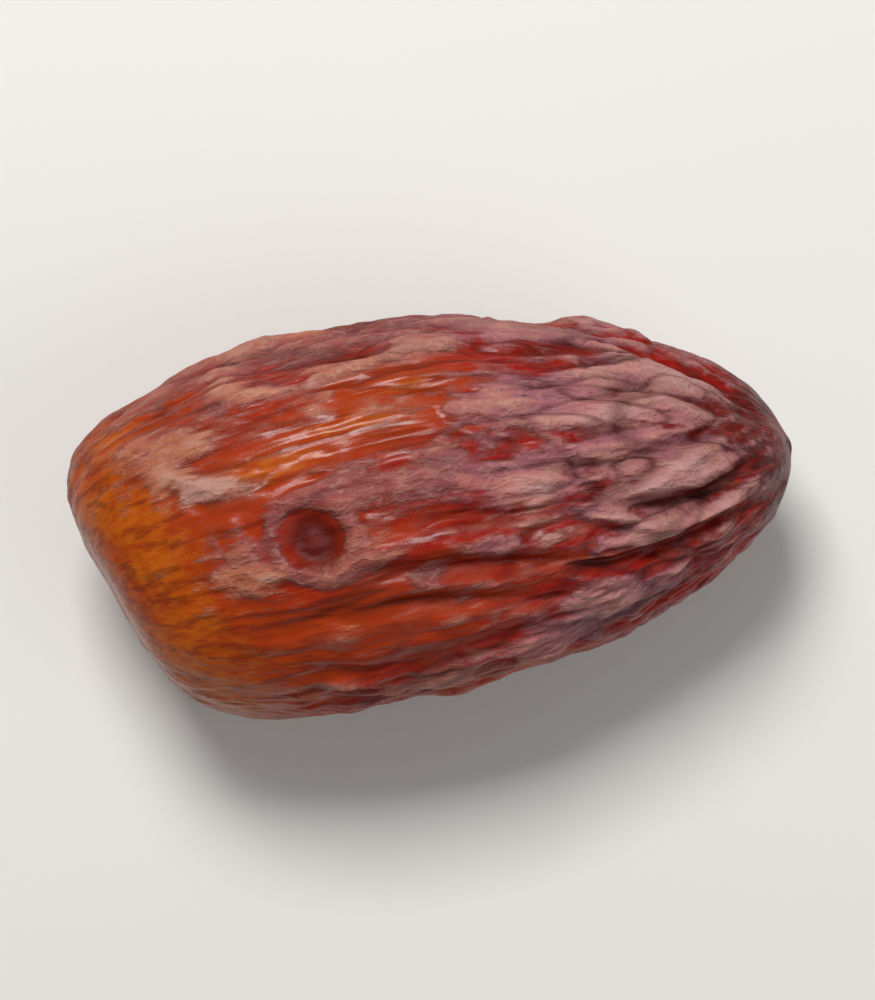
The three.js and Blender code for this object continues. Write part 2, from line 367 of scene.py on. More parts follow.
def scar_shape():
    """The same kind of bowl at the stem end, with a raised rim, ribs to its middle and a stub."""
    gap = reach * HALF_WIDTH / SCAR["radius"]
    on_stem_side = station < 0
    rim = SCAR_RIM["height"] * bell(gap - SCAR_RIM["away"], SCAR_RIM["half"])
    bowl = np.exp(-(gap ** SCAR["sharpness"])) * on_stem_side
    ribbed = bell(gap - SCAR_RIBS["away"], SCAR_RIBS["half"])
    ribs = SCAR_RIBS["height"] * np.cos(SCAR_RIBS["count"] * angle) * ribbed
    stub = SCAR_STUB["height"] * np.exp(-((gap / SCAR_STUB["half"]) ** SCAR["sharpness"]))
    return (rim + ribs + stub) * on_stem_side - SCAR["depth"] * bowl, bowl


pit_height, pit = pit_shape()
scar_height, scar = scar_shape()
print("spot and scar are", round(-pit_height.min(), 2), "and", round(-scar_height.min(), 2), "mm deep")

# %% [markdown]
# ## The lengthwise folds
#
# Full ridges with narrow furrows run along the fruit where the skin is loose. A ridge is the size
# of a wave without its sign: the wave's zero line becomes a sharp furrow and both sides of it
# become round ridges, which merge and part as real folds do.

# %% Folds, and all the large forms together
FOLD = {"around": 13, "reach": 17, "shift": 0, "seed": 37, "swell_pull": 1.1, "drift_pull": 0.9}
FOLD_RIDGE = {"height": 1.25, "rounding": 0.003, "flat": 0.6, "middle": 0.28, "fade": (0.12, 0.62)}
# The fold furrows' zero line is painted dark as shade, with this share and half width.
FOLD_FURROW_SHADE = {"share": 0.6, "half": 0.08}


def unsigned(value, rounding):
    """The wave without its sign: the root of its square and a small rounding."""
    return np.sqrt(value ** 2 + rounding)


crossed = wave(FOLD, FOLD["swell_pull"] * swell, FOLD["drift_pull"] * drift)
fold_share = smooth(reach, *FOLD_RIDGE["fade"]) * settled * loose
ridge = np.minimum(unsigned(crossed, FOLD_RIDGE["rounding"]), FOLD_RIDGE["flat"]) - FOLD_RIDGE["middle"]
folded = FOLD_RIDGE["height"] * fold_share * ridge + creased
# Painted shade: the dark mask of the fold furrows and the crease valleys.
furrow_shade_and_tip_dot = np.maximum(FOLD_FURROW_SHADE["share"] * bell(crossed, FOLD_FURROW_SHADE["half"]) * fold_share, crease_shade)
swollen = SWELL["height"] * swell * smooth(reach, 0, SWELL["fades"])
height = swollen + PLATE["height"] * plate + folded + pit_height + scar_height
print("large forms stand", round(height.min(), 2), "to", round(height.max(), 2), "mm from the plain fruit")

# %% [markdown]
# ## Noise in a solid block
#
# Between the large folds the skin has wrinkles two or three millimetres apart, and crinkles of
# one millimetre on those. They are geometry and not a bump, so they have an outline and a shadow.
#
# The large folds come from cells that are counted round the fruit, so all of them reach the ends.
# Real wrinkles die out and merge on the way there. So these come from noise in a solid block that
# the straightened fruit is laid into: the block's cells keep their size, and fewer of them fit
# where the fruit is thin.

# %% Noise in a block round the straightened fruit
STRAIGHT_POWER = 0.65
LAYER_STEP = 57
walked = np.hypot(np.diff(ring_station), np.diff(ring_reach * HALF_WIDTH))
ring_walk = np.concatenate([[0], np.cumsum(walked)]) - walked[:RINGS // 2].sum()
side = HALF_WIDTH * reach ** STRAIGHT_POWER
ring_walks = np.repeat(ring_walk[:, None], PLACES_ROUND, axis=1)
straight = np.stack([ring_walks, side * np.cos(angle), side * np.sin(angle)], axis=-1)


def block_wave(field, pull=0):
    """Gradient noise in three directions, about -1 to 1, with pull shifting it across, in cells.

    It is the same as the wave above, but each cell has eight corners, and a corner's slope points
    anywhere on a sphere: its height comes from one random number and its heading from another.
    """
    size = np.array([field["reach"], field["across"], field["across"]])
    place = straight / size
    place[..., 1:] += np.asarray(pull)[..., None]
    cell = np.floor(place)
    part = place - cell
    mix = smoother(part)

    def corner(step):
        where = cell + step
        column, row = where[..., 0] + LAYER_STEP * where[..., 2], where[..., 1]
        tall = 2 * chance(column, row, field["seed"]) - 1
        heading = FULL_TURN * chance(row, column, field["seed"] + 1)
        flat = np.sqrt(1 - tall ** 2)
        gap = part - step
        level = np.cos(heading) * gap[..., 0] + np.sin(heading) * gap[..., 1]
        return flat * level + tall * gap[..., 2]

    values = [corner((i, j, k)) for i in (0, 1) for j in (0, 1) for k in (0, 1)]
    pairs = [blend(low, high, mix[..., 2]) for low, high in zip(values[::2], values[1::2])]
    low, high = (blend(pairs[i], pairs[i + 1], mix[..., 1]) for i in (0, 2))
    return WAVE_GAIN * blend(low, high, mix[..., 0])


print("the straightened fruit is", round(ring_walk[-1] - ring_walk[0], 1), "mm long over its skin")

# %% [markdown]
# ## Wrinkles, crinkles and crests
#
# The wrinkles are valleys at their wave's zero line and the crinkles are crests there, so one cuts
# and the other pinches. Where the skin is loosest it also stands up in thin crests. A slow ripple
# across the folds keeps any of them from being straight.

# %% Wrinkles, crinkles and crests
WRINKLE = {"reach": 11, "across": 2.1, "seed": 53, "height": 0.75, "rounding": 0.002}
CRINKLE = {"reach": 5.5, "across": 0.8, "seed": 71, "height": 0.42, "rounding": 0.02}
CREST = {"reach": 14, "across": 3.4, "seed": 67, "height": 0.28, "half": 0.1}
RIPPLE = {"reach": 2.6, "across": 3.4, "seed": 29, "height": 0.16}
PULLS = {"fold": 0.5, "drift": 0.4, "wrinkle": 0.5, "ripple": 0.3, "swell": 0.5}
FINE_FADE = (0.2, 0.8)
FINE_MIDDLE = 0.25
PAST_AMBER = (-22, -8)
TIGHT_WRINKLES = 0.12
CALM_WRINKLES = 0.16
REST_WRINKLES = 0.3
WRINKLED = (0.05, 0.6)
# The wrinkles' valleys are painted as thin dark lines of shade.
WRINKLE_SHADE = {"half": 0.06, "share": 0.6}

off_the_ends = smooth(reach, *FINE_FADE)
past_amber = smooth(station, *PAST_AMBER)
least_wrinkled = blend(TIGHT_WRINKLES, CALM_WRINKLES, past_amber)
wrinkled = blend(least_wrinkled, 1, smooth(loose, *WRINKLED)) * blend(REST_WRINKLES, 1, settled)
wrinkle = block_wave(WRINKLE, PULLS["fold"] * crossed + PULLS["drift"] * drift)
crinkle = block_wave(CRINKLE, PULLS["wrinkle"] * wrinkle)
ripple = block_wave(RIPPLE, PULLS["ripple"] * drift)
crest = bell(block_wave(CREST, PULLS["swell"] * swell), CREST["half"]) * loose * settled * off_the_ends
# Painted shade along the wrinkles' valleys.
wrinkle_shade = bell(wrinkle, WRINKLE_SHADE["half"]) * wrinkled
cuts = WRINKLE["height"] * (unsigned(wrinkle, WRINKLE["rounding"]) - FINE_MIDDLE)
pinches = CRINKLE["height"] * (FINE_MIDDLE - unsigned(crinkle, CRINKLE["rounding"]))
fine = (off_the_ends * (cuts + pinches) + RIPPLE["height"] * ripple) * wrinkled + CREST["height"] * crest
print("wrinkles, crinkles and crests add up to", round(np.abs(fine).max(), 2), "mm")

# %% [markdown]
# ## Dimples and fine lines
#
# Even where it is calm the skin isn't smooth: it has short shallow dimples and lines about a
# millimetre apart. They are left out at the stem end, where the skin is as tight as a drum.

# %% Dimples and fine lines
DIMPLE = {"reach": 3.4, "across": 1.5, "seed": 97, "height": 0.28, "rounding": 0.003}
DIMPLE_PULL = 0.6
DIMPLES_LOST = 0.7
LINE = {"reach": 8, "across": 1.0, "seed": 41, "height": 0.19, "rounding": 0.002}
LINE_PULLS = {"wrinkle": 0.5, "ripple": 0.5}

dimple = unsigned(block_wave(DIMPLE, DIMPLE_PULL * drift), DIMPLE["rounding"]) - FINE_MIDDLE
dimpled = DIMPLE["height"] * dimple * (1 - DIMPLES_LOST * loose) * settled
line_pull = LINE_PULLS["wrinkle"] * wrinkle + LINE_PULLS["ripple"] * ripple
lined = LINE["height"] * unsigned(block_wave(LINE, line_pull), LINE["rounding"])
fine = fine + (dimpled - lined) * past_amber * off_the_ends
height = height + fine
print("all the fine relief adds up to", round(np.abs(fine).max(), 2), "mm")

# %% [markdown]
# ## Where the skin clings and where it has lifted
#
# A date's colour follows its skin. Where the skin clings, the flesh shines through it: amber at
# the stem end, which ripens last, then orange, and dark red towards the tip. Where the skin has
# lifted, air lies behind it, so it is dull, mauve or pinkish, and the palest where it is thinnest.
#
# Four fields hold this: glow, lifted, pale, and a field of a few dark patches painted as shade in hollows.
# Some pale patches are painted highlights where the skin catches the light. Each takes the highest of some
# soft patches. A painted image would do too, but patches need no unwrapping and can be moved one at a time.

# %% Patches: station, angle, half length, half angle and share of each
PATCHES = {
    "glow": [
        (-21, 75, 8, 75, 0.26), (-20, 62, 6, 24, 0.52), (-14, 126, 6, 20, 0.38), (-9, 121, 6, 11, 0.36),
        (-9, 68, 4.5, 8, 0.6), (-3, 61, 6, 8, 0.5), (0, 51, 5, 6, 0.46), (-2, 119, 6, 9, 0.16),
        (5, 69, 5, 4, 0.2), (9, 117, 5, 5, 0.2), (-21, 270, 5, 100, 0.6),
    ],
    "lifted": [
        (-14.6, 51, 3, 12, 1.0), (-12, 96, 2.8, 12, 0.95), (-6, 103, 3.5, 5, 0.9), (-4.5, 80, 3.5, 9, 0.95),
        (-9, 41, 6, 10, 0.75), (4, 71, 4, 9, 0.75), (15.5, 66, 5, 10, 1.1), (1, 83, 6, 10, 1.0),
        (7, 88, 5, 13, 1.1), (-3, 19, 18, 18, 1.05), (9, 60, 8, 14, 1.1), (16, 47, 5, 15, 1.15),
        (14, 84, 6, 15, 1.25), (13, 100, 6, 7, 1.15), (15, 112, 5, 9, 1.05), (10, 147, 7, 15, 1.1),
        (-3, 155, 9, 10, 0.75), (-1.3, 109, 1.8, 4, 0.9), (0.8, 119, 1.6, 3, 0.8), (3.5, 106, 2, 4, 0.9),
        # This lifted patch also lies under the painted highlight at the stem end's bright corner.
        (-12.8, 69, 2.4, 3.5, 1.0),
    ],
    # Some pale patches are painted highlights where the skin catches the light: the bright corner by the
    # beige patch at the stem end, and the whitish spot near the tip.
    "pale": [
        (-14.6, 51, 3.5, 13, 0.38), (-12.8, 69, 2.6, 5, 0.8), (17.5, 47, 3, 11, 0.55), (6.5, 95, 3.5, 9, 0.5),
        (-12.5, 100, 2.5, 9, 0.48), (16, 110, 4, 7, 0.5), (13, 92, 6, 16, 0.6), (9, 60, 6, 12, 0.15),
        (14, 66, 5, 14, 0.6), (-9, 41, 6, 10, 0.15),
    ],
    # Painted shade: a few dark patches in hollows near the upper edge and the tip.
    "hollow_shade": [
        (10.5, 33, 2.5, 4, 0.5), (14.5, 39, 3, 2.5, 0.5), (19, 75, 2.5, 30, 0.25), (11, 22, 4, 8, 0.4),
    ],
}


def away_from(middle):
    """Degrees round the fruit from an angle, from -180 to 180."""
    return (degrees - middle + 180) % 360 - 180


def patches(name):
    """At every place the highest patch: a share times a bell along and a bell round."""
    highest = np.zeros_like(station)
    for middle, middle_angle, half, half_angle, share in PATCHES[name]:
        patch = share * bell(station - middle, half) * bell(away_from(middle_angle), half_angle)
        highest = np.maximum(highest, patch)
    return highest


for name, placed in PATCHES.items():
    print(len(placed), "patches of", name)

# %% [markdown]
# ## The underside, the spot and the tip
#
# The underside has no patches of its own, so slow waves say where its skin has lifted or glows.
# Round the sunken spot the skin is lifted in a ring. The tip half is riper, so its flesh glows
# less. At the very tip all angles meet in one point, so whatever depends on the angle is blended
# there into one even value, with the small dark dot that the flower leaves on every date.

# %% Glow, lift and paleness at every place
EDGE_WAVE = {"reach": 5, "across": 3.2, "seed": 83, "pull": 0.4, "fades": 0.5}
BELOW = {"angles": (65, 100), "lift": 0.9, "lift_edge": (-0.5, 0.4), "glow": 0.55, "glow_edge": (0.0, 0.7)}
BELOW_WAVES = {"drift": 0.8, "edge": 0.5, "swell": 0.6}
AMBER_END = {"wave": 2, "edge": (-17, -9), "glow": 0.5}
SPOT_RING = {"away": 2.6, "half": 0.85, "lift": 1.0}
PLAIN = {"glow": 0.41, "ripe glow": 0.28, "pale": 0.35, "pale below": 0.2}
RIPE = {"wave": 2, "edge": (-3, 10)}
TIP = {"edge": (18, 23), "near": (0.1, 0.5), "glow": 0.1, "lift": 0.15}
TIP_DOT = {"radius": 0.75, "height": 0.25}

edge_wave = block_wave(EDGE_WAVE, EDGE_WAVE["pull"] * drift * smooth(reach, 0, EDGE_WAVE["fades"]))
underneath = smooth(np.abs(away_from(90)), *BELOW["angles"])
past_stem = smooth(station + AMBER_END["wave"] * edge_wave, *AMBER_END["edge"])
lift_wave = swell + BELOW_WAVES["drift"] * drift + BELOW_WAVES["edge"] * edge_wave
lifted_below = BELOW["lift"] * smooth(lift_wave, *BELOW["lift_edge"]) * underneath * past_stem
glow_wave = drift - BELOW_WAVES["swell"] * swell
glow_below = BELOW["glow"] * smooth(glow_wave, *BELOW["glow_edge"]) * underneath
glow_below = np.maximum(glow_below, AMBER_END["glow"] * (1 - past_stem))

across_pit = np.radians(degrees - PIT["angle"]) * HALF_WIDTH
from_pit = np.hypot(station - PIT["station"], across_pit)
pit_ring = SPOT_RING["lift"] * bell(from_pit - SPOT_RING["away"], SPOT_RING["half"])
near_tip = (1 - smooth(reach, *TIP["near"])) * (station > 0)
tip_dot = bell(reach * HALF_WIDTH, TIP_DOT["radius"]) * (station > 0)

glow = blend(np.maximum(patches("glow"), glow_below), TIP["glow"], near_tip)
ripe = smooth(station + RIPE["wave"] * edge_wave, *RIPE["edge"])
glow = glow + blend(PLAIN["glow"], PLAIN["ripe glow"], ripe) * (1 - smooth(station, *TIP["edge"]))
lifted = np.maximum(np.maximum(patches("lifted"), lifted_below), pit_ring)
lifted = blend(lifted, TIP["lift"], near_tip)
pale = patches("pale") + blend(PLAIN["pale"], PLAIN["pale below"], underneath)
pale = blend(pale, PLAIN["pale below"], near_tip)
print("glow averages", round(float(glow.mean()), 2), "and paleness", round(float(pale.mean()), 2))

# %% [markdown]
# ## Ragged edges, and the fields of the folds
#
# Thin skin tears loose in ragged flakes, so waves of three sizes roughen each patch's edge. Folds lift first,
# so the raised parts of the relief are more lifted; they are also painted paler as a painted highlight, and
# the valleys keep the flesh's darker colour as painted shade. The furrows and the wrinkles' valleys are
# painted nearly black as shade. The tops of crests are rubbed and dusty, and the welts and the raised fine
# relief take the same dust colour as a painted highlight.

# %% Fields that the colours follow
RAGGED = [{"reach": 2.6, "across": 1.1, "seed": 31}, {"reach": 1.4, "across": 0.6, "seed": 47}]
RAGGED_PULL = 0.4
RAGGED_LIFT = 0.2
EDGES = {"glow": 0.1, "lifted": 0.15, "pale": 0.15}
RAISED = (-0.2, 0.25)
# How far the lifted and pale fields follow the relief, so that raised parts are painted lighter as highlight
# and valleys darker as shade.
RELIEF_LIGHT = {"lifted": 0.5, "pale": 0.3}
# The fine relief's tops are painted paler as highlight and its valleys darker as shade.
FINE_RELIEF_LIGHT = {"edge": (-0.14, 0.1), "share": 0.15}
# Dust on the crests, and a painted highlight in the same colour on the welts and the raised fine relief.
DUST_AND_HIGHLIGHT_TOPS = {"crest": 0.8, "fine": 0.7, "edge": (0.03, 0.2)}
SPOT_COLOUR = {"share": 1.15, "middle": 0.35, "half": 0.6}

ragged = sum(block_wave(each, RAGGED_PULL * edge_wave) for each in RAGGED)
# Painted light and shade from the relief: positive on raised parts, negative in the valleys.
relief_light_and_shade = smooth(folded + fine, *RAISED) - 0.5
fine_relief_light_and_shade = FINE_RELIEF_LIGHT["share"] * (smooth(fine, *FINE_RELIEF_LIGHT["edge"]) - 0.5)
flaked_and_relief_lit = RAGGED_LIFT * ragged + EDGES["lifted"] * edge_wave + RELIEF_LIGHT["lifted"] * relief_light_and_shade
# Dust on the crests, and painted highlight on the welts and the raised tops of the fine relief.
dust_and_highlit_tops = DUST_AND_HIGHLIGHT_TOPS["crest"] * crest + welt + DUST_AND_HIGHLIGHT_TOPS["fine"] * smooth(fine, *DUST_AND_HIGHLIGHT_TOPS["edge"])
spot = SPOT_COLOUR["share"] * pit - SPOT_COLOUR["middle"] * bell(from_pit, SPOT_COLOUR["half"])
fields = {
    "glow": glow + EDGES["glow"] * edge_wave,
    # Lifted skin from the patches and ragged waves, and partly from the relief as painted light and shade.
    "lifted": lifted + flaked_and_relief_lit - pit ** 2,
    # Paleness, partly a painted highlight on the raised relief and the lit patches.
    "pale": pale + EDGES["pale"] * edge_wave + RELIEF_LIGHT["pale"] * relief_light_and_shade + fine_relief_light_and_shade,
    # Painted shade in the furrows, the wrinkle valleys and a few hollows, with the tip's real dark dot.
    "furrow_shade_and_tip_dot": np.clip(furrow_shade_and_tip_dot + WRINKLE_SHADE["share"] * wrinkle_shade + tip_dot + patches("hollow_shade"), 0, 1),
    "ripe": ripe,
    # Where the dust colour lies: real dust on crests, painted highlight on the welts and raised tops.
    "crest": np.clip(dust_and_highlit_tops, 0, 1),
    "pit": np.clip(spot, 0, 1),
    "scar": scar,
}
for name, values in fields.items():
    print(name, "averages", round(float(values.mean()), 3))

# %% [markdown]
# ## Blisters, crepe and threads
#
# Lifted skin stands a little higher than the skin round it, as a low blister, and it is creped
# like tissue paper. Where the skin clings, thin fibres of the flesh show through as threads. This
# is the finest relief that the mesh can hold. Anything finer is a bump in the material.

# %% The finest relief
BLISTER = {"height": 0.14, "edge": (0.15, 0.7)}
CREPE = {"reach": 1.9, "across": 0.85, "seed": 61, "height": 0.26, "rounding": 0.002}
THREAD = {"reach": 5.0, "across": 0.6, "seed": 73, "height": 0.09, "rounding": 0.002}
FINEST_PULL = 0.25
REST_FINEST = 0.2


def ridges(field):
    """A block wave's middle less its size without its sign, so that its zero line is a crest."""
    return FINE_MIDDLE - unsigned(block_wave(field, FINEST_PULL * ragged), field["rounding"])


blister = smooth(fields["lifted"], *BLISTER["edge"]) * off_the_ends * settled
finest = CREPE["height"] * blister * ridges(CREPE) + THREAD["height"] * (1 - blister) * ridges(THREAD)
finest = finest * off_the_ends * blend(REST_FINEST, 1, settled) * past_amber
height = height + BLISTER["height"] * blister + TIP_DOT["height"] * tip_dot + finest
print("lifted skin covers", round(100 * float((blister > 0.5).mean())), "per cent of the grid")

# %% [markdown]
# ## From a grid to a closed mesh
#
# The height is added along the plain fruit's own normal, which is the cross product of the ways
# along and round the grid. The underside is then flattened a little, as the soft fruit has
# settled, and the whole is brought to the size of its box. Both ends of the grid shrink to a
# point, so each is one vertex with a fan of triangles round it.

# %% The skin's points
REST_FLAT = 0.4
STEM_POINT_FACES = (-math.cos(STEM_SLANT), -math.sin(STEM_SLANT), 0)
TIP_POINT_FACES = (1, 0, 0)


def outward(points):
    """Unit cross product of the step round the grid and the step along it, at every place.

    The two end points have no step round them, so the way that they face is given.
    """
    along = np.gradient(points, axis=0)
    round_ = np.roll(points, -1, axis=1) - np.roll(points, 1, axis=1)
    normal = np.cross(round_, along)
    length = np.linalg.norm(normal, axis=-1, keepdims=True)
    normal = normal / np.maximum(length, np.finfo(float).tiny)
    normal[0], normal[-1] = STEM_POINT_FACES, TIP_POINT_FACES
    return normal


def skin_points():
    """Plain fruit plus height along its normals, settled, in metres and fitted to the box."""
    points = plain_fruit(station, reach, angle)
    level = height.copy()
    level[0], level[-1] = level[0].mean(), level[-1].mean()
    points = points + outward(points) * level[..., None]
    points[..., 2] = np.maximum(points[..., 2], points[..., 2].min() + REST_FLAT)
    low, high = points.min(axis=(0, 1)), points.max(axis=(0, 1))
    return BOX_LOW + (points - low) * (BOX_HIGH - BOX_LOW) / (high - low)


points = skin_points()
print("the skin's lowest corner is", np.round(points.min(axis=(0, 1)) / MM, 2), "mm")

# %% [markdown]
# ## The mesh and its attributes
#
# Faces are listed by the grid's own numbering, so no doubles have to be merged and every face
# looks outwards. The fields go into the mesh as attributes, one value at each vertex, and so does
# the straightened place, which the material's patterns are laid on.

# %% Faces and attributes
def grid_values(values):
    """A grid's values in the mesh's order: one for the stem point, each ring, one for the tip."""
    flat = values[1:-1].reshape(-1, *values.shape[2:])
    return np.concatenate([values[:1, 0], flat, values[-1:, 0]])


def skin_faces():
    """Quads between neighbouring rings, and a fan of triangles at each end, facing outwards."""
    here = np.arange(PLACES_ROUND)
    there = (here + 1) % PLACES_ROUND
    ring = 1 + PLACES_ROUND * np.arange(RINGS - 3)[:, None]
    corners = (ring + here, ring + there, ring + PLACES_ROUND + there, ring + PLACES_ROUND + here)
    quads = np.stack(corners, axis=-1).reshape(-1, 4)
    last = 1 + PLACES_ROUND * (RINGS - 3)
    tip = last + PLACES_ROUND
    stem_fan = np.stack([np.zeros_like(here), 1 + there, 1 + here], axis=-1)
    tip_fan = np.stack([np.full_like(here, tip), last + here, last + there], axis=-1)
    return quads.tolist() + stem_fan.tolist() + tip_fan.tolist()


mesh = bpy.data.meshes.new("date_skin")
mesh.from_pydata(grid_values(points).tolist(), [], skin_faces())
mesh.update()
mesh.shade_smooth()
for name, values in fields.items():
    attribute = mesh.attributes.new(name, "FLOAT", "POINT")
    attribute.data.foreach_set("value", grid_values(values).astype(np.float32))
attribute = mesh.attributes.new("straight", "FLOAT_VECTOR", "POINT")
attribute.data.foreach_set("vector", grid_values(straight * MM).astype(np.float32).ravel())
date = bpy.data.objects.new("date_skin", mesh)
bpy.context.scene.collection.objects.link(date)
triangles = sum(len(face.vertices) - 2 for face in mesh.polygons)
print(len(mesh.vertices), "vertices and", triangles, "triangles")

# %% [markdown]
# ## The skin's colours
#
# Flesh seen through clinging skin runs from nearly black red over crimson and rust to amber and
# gold. Lifted skin runs from grey mauve to a whitish pink, as the air behind it scatters the light.
# The values are written as a colour picker shows them, which is on a curved scale, and the shader
# reckons with plain amounts of light, so one function turns each of them.

# %% Colours
COLOURS = {
    "dark flesh": "#420D08",
    "crimson": "#8A1008",
    "rust": "#962C07",
    "amber": "#953103",
    "gold": "#AC5205",
    "grey mauve": "#6A4042",
    "mauve": "#8A4C48",
    "beige": "#AA6C50",
    "whitish": "#B68C80",
    "haze": "#AA8098",
    # Bloom is the colour of the dust and the crepe tops; on the welts and raised tops it is also a painted
    # highlight.
    "bloom": "#B08474",
    "vein": "#4A1008",
    # The dark colour of the painted shade in furrows, valleys and hollows, and of the tip's dot.
    "furrow_shade_and_tip_dot": "#3E0B07",
    "pit": "#4C0804",
    "scar": "#6B4A2E",
    "floor": "#DAD7D2",
    "sky": "#F6FAFF",
}
PICKER = {"knee": 0.04045, "slope": 12.92, "offset": 0.055, "power": 2.4}


def colour(name):
    """Linear light from an sRGB hex value: below the knee a straight slope, above it a power."""
    text = COLOURS[name].lstrip("#")
    encoded = np.array([int(text[place:place + 2], 16) for place in (0, 2, 4)]) / 255
    curved = ((encoded + PICKER["offset"]) / (1 + PICKER["offset"])) ** PICKER["power"]
    linear = np.where(encoded <= PICKER["knee"], encoded / PICKER["slope"], curved)
    return (*linear.tolist(), 1.0)


print(len(COLOURS), "colours, of which amber is", np.round(colour("amber")[:3], 3), "as light")

# %% [markdown]
# ## A material made of nodes
#
# A material is a small network. Each node takes values or links, and gives a value on. One function
# adds a node of any kind, so that the cells below only say what goes into it. The fields that the
# mesh carries are read by their names.

# %% Nodes, and the fields
material = bpy.data.materials.new("dried date skin")
material.use_nodes = True
tree = material.node_tree
tree.nodes.clear()


def node(kind, inputs=None, output=None, **settings):
    """Add a node with its settings, then give each named or numbered input a value or a link.

    The socket that comes back is the named output, or else the first that is in use.
    """
    added = tree.nodes.new(kind)
    for name, value in settings.items():
        setattr(added, name, value)
    for name, value in (inputs or {}).items():
        used = [each for each in added.inputs if each.enabled and each.name == name]
        socket = used[0] if used else added.inputs[name]
        if isinstance(value, bpy.types.NodeSocket):
            tree.links.new(value, socket)
        else:
            socket.default_value = value
    used = [each for each in added.outputs if each.enabled and output in (None, each.name)]
    return used[0] if used else None


field = {}
for name in fields:
    field[name] = node("ShaderNodeAttribute", output="Fac", attribute_name=name)
straight_place = node("ShaderNodeAttribute", output="Vector", attribute_name="straight")
print("the material reads", ", ".join(field))

# %% [markdown]
# ## Patterns in the skin
#
# Skin lifts in streaks drawn out along the fruit, with blotches between them. Crepe, its finer
# crackle, and veins are thin lines, which a ridged noise gives. All are read from the straightened
# place of each point, so they follow the folds round the bend and into both ends. A size is a
# cell's length along and across in millimetres. The real skin's grain is finer than a pixel, so it
# is drawn coarse enough to show.

# %% Patterns
PATTERNS = {
    "streaks": {"size": (3.0, 0.5, 0.5), "detail": 6, "roughness": 0.66},
    "mottle": {"size": (1.5, 0.9, 0.9), "detail": 6, "roughness": 0.66},
    "crepe": {"size": (1.6, 0.7, 0.7), "detail": 3, "roughness": 0.6, "ridged": True},
    "veins": {"size": (12.0, 1.4, 1.4), "detail": 3, "roughness": 0.6, "ridged": True},
    "crackle": {"size": (0.9, 0.4, 0.4), "detail": 2, "roughness": 0.5, "ridged": True},
    "grain": {"size": (0.16, 0.16, 0.16), "detail": 2, "roughness": 0.5},
}
RIDGED = {"Offset": 1.0, "Gain": 1.5}

pattern = {}
for name, numbers in PATTERNS.items():
    scale = tuple(1 / (edge * MM) for edge in numbers["size"])
    laid = node("ShaderNodeMapping", {"Vector": straight_place, "Scale": scale})
    values = {"Vector": laid, "Scale": 1.0, "Detail": numbers["detail"], "Roughness": numbers["roughness"]}
    if "ridged" in numbers:
        pattern[name] = node("ShaderNodeTexNoise", {**values, **RIDGED}, noise_type="RIDGED_MULTIFRACTAL")
    else:
        pattern[name] = node("ShaderNodeTexNoise", values, noise_type="FBM")
print("patterns of", ", ".join(pattern))

# %% [markdown]
# ## Where each layer shows
#
# The soft fields are roughened by the streaks and the mottle before they choose anything, so a
# patch ends in flakes and not in a blurred rim. Lifted skin lets a little of the flesh through.
# Dust lies on the tops, and on the welts and the raised fine relief its colour is a painted highlight. Crepe
# and crackle show only where the skin has lifted. On the riper half a thin haze of natural bloom lies on that
# skin and makes it more mauve.

# %% Shares of the layers
STREAKY, MOTTLED = 1.3, 1.0
ROUGHENED = 0.45
WHITENED = 0.55
LIFTED = {"From Min": 0.17, "From Max": 0.64, "To Max": 0.82}
FLAKE = {"From Min": 0.23, "From Max": 0.58}
# The patchy spread of the dust colour, partly a painted highlight on the welts and raised tops.
DUST_AND_HIGHLIGHT = {"From Min": 0.3, "From Max": 0.6, "To Max": 0.5}
VEIN = {"From Min": 1.2, "From Max": 1.75, "To Max": 0.45}
CREPED = {"From Min": 1.15, "From Max": 1.7}
PINCHED = 0.3
HAZE = 0.35

middle = -(STREAKY + MOTTLED) / 2
streaky = node("ShaderNodeMath", {0: pattern["streaks"], 1: STREAKY, 2: middle}, operation="MULTIPLY_ADD")
rough = node("ShaderNodeMath", {0: pattern["mottle"], 1: MOTTLED, 2: streaky}, operation="MULTIPLY_ADD")
glowing = node("ShaderNodeMath", {0: rough, 1: ROUGHENED, 2: field["glow"]}, operation="MULTIPLY_ADD")
# The pale field chooses the lifted skin's colour, which is partly a painted highlight on raised relief and
# lit patches.
whitened = node("ShaderNodeMath", {0: rough, 1: WHITENED, 2: field["pale"]}, operation="MULTIPLY_ADD")
loosened = node("ShaderNodeMath", {0: rough, 1: field["lifted"]}, operation="ADD")
edges = {
    "lifted": {"Value": loosened, **LIFTED},
    "flake": {"Value": loosened, **FLAKE},
    "dust_and_highlight": {"Value": pattern["mottle"], **DUST_AND_HIGHLIGHT},
    "vein": {"Value": pattern["veins"], **VEIN},
    "crepe": {"Value": pattern["crepe"], **CREPED},
}
share = {}
for name, edge in edges.items():
    share[name] = node("ShaderNodeMapRange", edge, interpolation_type="SMOOTHSTEP")
share["dust_and_highlight"] = node("ShaderNodeMath", {0: share["dust_and_highlight"], 1: field["crest"]}, operation="MULTIPLY")
share["crepe"] = node("ShaderNodeMath", {0: share["crepe"], 1: share["lifted"]}, operation="MULTIPLY")
share["pinched"] = node("ShaderNodeMath", {0: share["crepe"], 1: PINCHED}, operation="MULTIPLY")
share["crackle"] = node("ShaderNodeMath", {0: pattern["crackle"], 1: share["lifted"]}, operation="MULTIPLY")
hazed = node("ShaderNodeMath", {0: field["ripe"], 1: HAZE}, operation="MULTIPLY")
share["haze"] = node("ShaderNodeMath", {0: share["lifted"], 1: hazed}, operation="MULTIPLY")
print("shares of", ", ".join(share))

